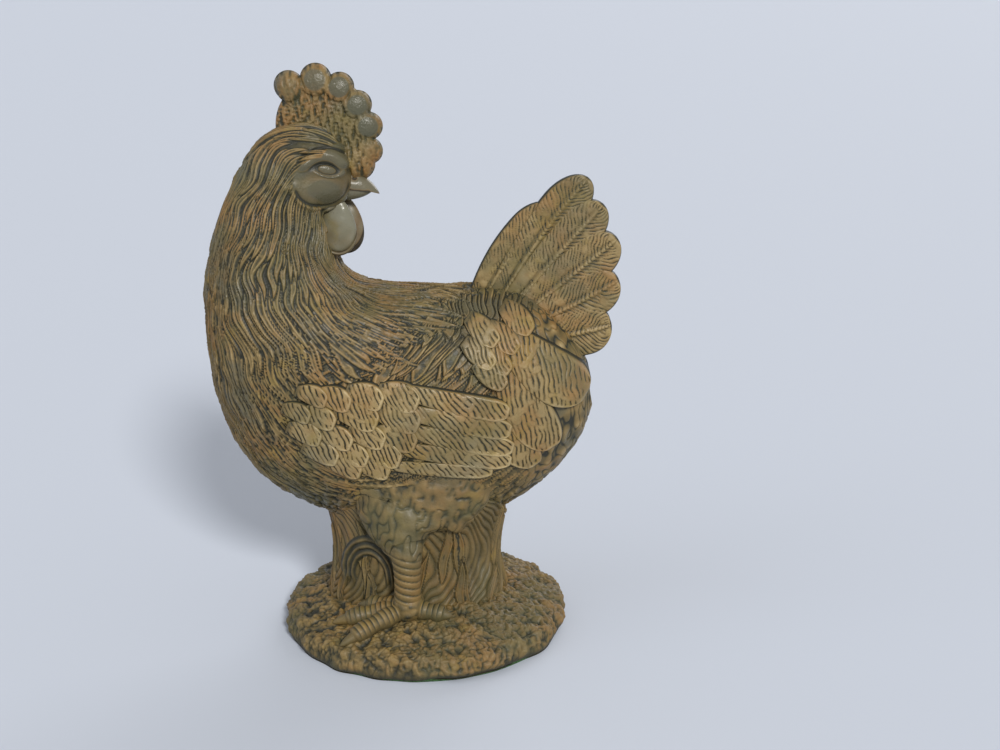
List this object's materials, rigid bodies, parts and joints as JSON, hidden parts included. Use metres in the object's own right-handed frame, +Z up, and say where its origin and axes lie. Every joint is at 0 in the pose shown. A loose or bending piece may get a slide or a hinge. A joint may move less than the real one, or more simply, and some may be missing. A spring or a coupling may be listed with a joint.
{
  "type": "hen ornament",
  "caption": "Cast ornamental hen looking back over its upright tail, standing on a grass tuft and a round mound with felt under it",
  "frame": {"origin": "middle of the flat underside of the felt pad", "axes": "+Z up, +X towards the tail, the pictured side faces -Y, mirror plane Y = 0"},
  "size_m": [0.2691, 0.193, 0.3793],
  "materials": {
    "base_patina": "satin",
    "felt": "matte",
    "grass_patina": "satin",
    "body_patina": "satin",
    "comb_patina": "satin",
    "beak_patina": "satin",
    "wattle_patina": "satin",
    "wing_patina": "satin",
    "tail_patina": "satin",
    "leg_patina": "satin"
  },
  "bodies": {
    "root": {"base_mound": "base_patina", "felt_pad": "felt", "grass_tuft": "grass_patina", "body_shell": "body_patina", "head": "body_patina", "comb": "comb_patina", "beak_upper": "beak_patina", "beak_lower": "beak_patina", "wattle_left": "wattle_patina", "wattle_right": "wattle_patina", "wing_left": "wing_patina", "wing_right": "wing_patina", "tail_fan": "tail_patina", "tail_coverts_left": "tail_patina", "tail_coverts_right": "tail_patina", "leg_left": "leg_patina", "leg_right": "leg_patina", "foot_left": "leg_patina", "foot_right": "leg_patina"}
  },
  "joints": []
}
